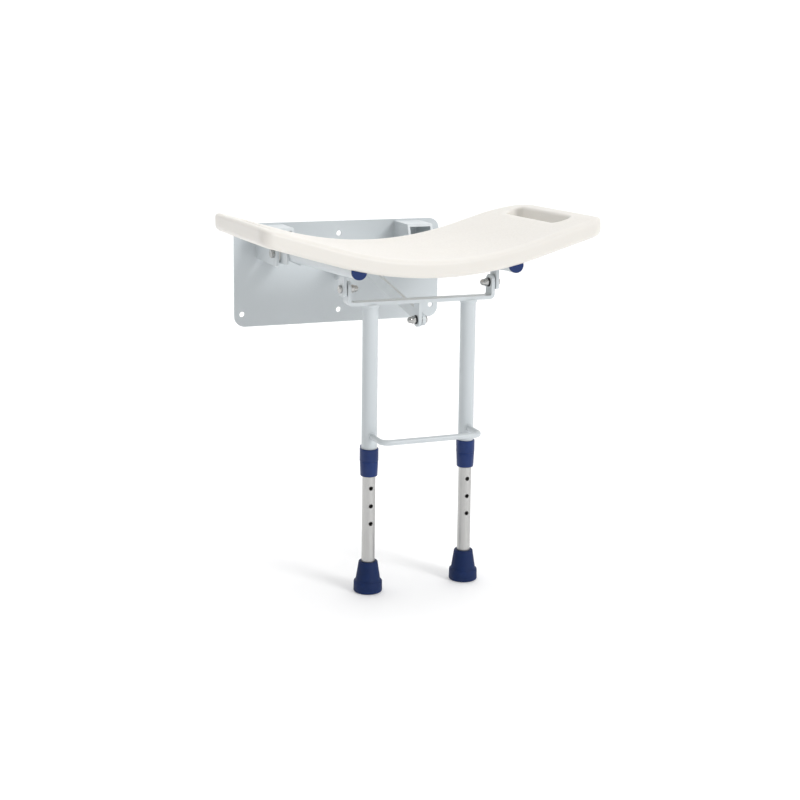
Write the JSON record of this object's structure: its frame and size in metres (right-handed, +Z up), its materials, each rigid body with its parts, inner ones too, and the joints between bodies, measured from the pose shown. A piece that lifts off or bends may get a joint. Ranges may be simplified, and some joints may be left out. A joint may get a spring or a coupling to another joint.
{
  "type": "fold down wall seat",
  "caption": "Fold down wall seat: curved white plastic panel with hand slots on a hinged steel frame, wall plate, drop leg frame with telescopic legs, blue collars and rubber feet.",
  "frame": {"origin": "centre of the wall plate's back face, in the middle of the six wall screw holes", "axes": "+X along the wall to the right seen from the room, +Y into the wall, +Z up"},
  "size_m": [0.508, 0.4201, 0.5397],
  "materials": {
    "powder_coat": "pale blue grey powder coat, semi gloss",
    "steel": "stainless fasteners",
    "white_plastic": "moulded white plastic with a fine grain",
    "blue_plastic": "blue moulded plastic",
    "blue_rubber": "blue moulded rubber",
    "black_plastic": "black nylon",
    "satin_aluminium": "satin anodised"
  },
  "bodies": {
    "wall": {"wall_plate": "powder_coat", "left_wall_bracket": "powder_coat", "right_wall_bracket": "powder_coat", "stay_bracket": "powder_coat", "wall_pivot_bolts": "steel", "wall_pivot_nuts": "steel", "wall_pivot_spacers": "white_plastic", "stay_wall_bolt": "steel", "stay_wall_nut": "steel", "stay_wall_washers": "steel"},
    "seat": {"seat_panel": "white_plastic", "left_seat_tube": "powder_coat", "right_seat_tube": "powder_coat", "left_pivot_cheeks": "powder_coat", "right_pivot_cheeks": "powder_coat", "left_leg_lug": "powder_coat", "right_leg_lug": "powder_coat", "left_tube_cap": "blue_plastic", "right_tube_cap": "blue_plastic", "seat_screws": "steel", "pivot_sleeves": "powder_coat", "leg_pivot_bolts": "steel", "leg_pivot_spacers": "white_plastic", "leg_pivot_washers": "black_plastic", "leg_pivot_nuts": "steel"},
    "legs": {"leg_yoke": "powder_coat", "left_upper_leg": "powder_coat", "right_upper_leg": "powder_coat", "stretcher_rod": "powder_coat", "stay_lug": "powder_coat", "left_collar": "blue_plastic", "right_collar": "blue_plastic", "stay_front_bolt": "steel", "stay_front_spacer": "steel", "stay_front_washer": "black_plastic", "stay_front_nut": "steel"},
    "stay": {"stay_bar": "powder_coat"},
    "left_slide": {"left_lower_leg": "satin_aluminium", "left_foot": "blue_rubber"},
    "right_slide": {"right_lower_leg": "satin_aluminium", "right_foot": "blue_rubber"},
    "left_lock": {"left_lock_pin": "blue_plastic"},
    "right_lock": {"right_lock_pin": "blue_plastic"}
  },
  "joints": [
    {"name": "seat_fold", "type": "hinge", "parent": "wall", "child": "seat", "pos_m": [0, -0.096, 0.0465], "axis": [-1, 0, 0], "range_deg": [0, 87.5]},
    {"name": "leg_swing", "type": "hinge", "parent": "seat", "child": "legs", "pos_m": [0, -0.34407, 0.0273], "axis": [1, 0, 0], "range_deg": [0, 87.5]},
    {"name": "stay_swing", "type": "hinge", "parent": "legs", "child": "stay", "pos_m": [0, -0.34407, -0.0217], "axis": [-1, 0, 0], "range_deg": [0, 99.43]},
    {"name": "left_leg_slide", "type": "slide", "parent": "legs", "child": "left_slide", "axis": [0, 0, 1], "range_m": [-0.052, 0.104]},
    {"name": "right_leg_slide", "type": "slide", "parent": "legs", "child": "right_slide", "axis": [0, 0, 1], "range_m": [-0.052, 0.104]},
    {"name": "left_lock_pull", "type": "slide", "parent": "legs", "child": "left_lock", "axis": [0, 1, 0], "range_m": [0, 0.02]},
    {"name": "right_lock_pull", "type": "slide", "parent": "legs", "child": "right_lock", "axis": [0, 1, 0], "range_m": [0, 0.02]}
  ],
  "couplings": [
    {"joint": "leg_swing", "follows": "seat_fold", "ratio": 1},
    {"joint": "stay_swing", "follows": "seat_fold", "ratio": 1.1364}
  ]
}
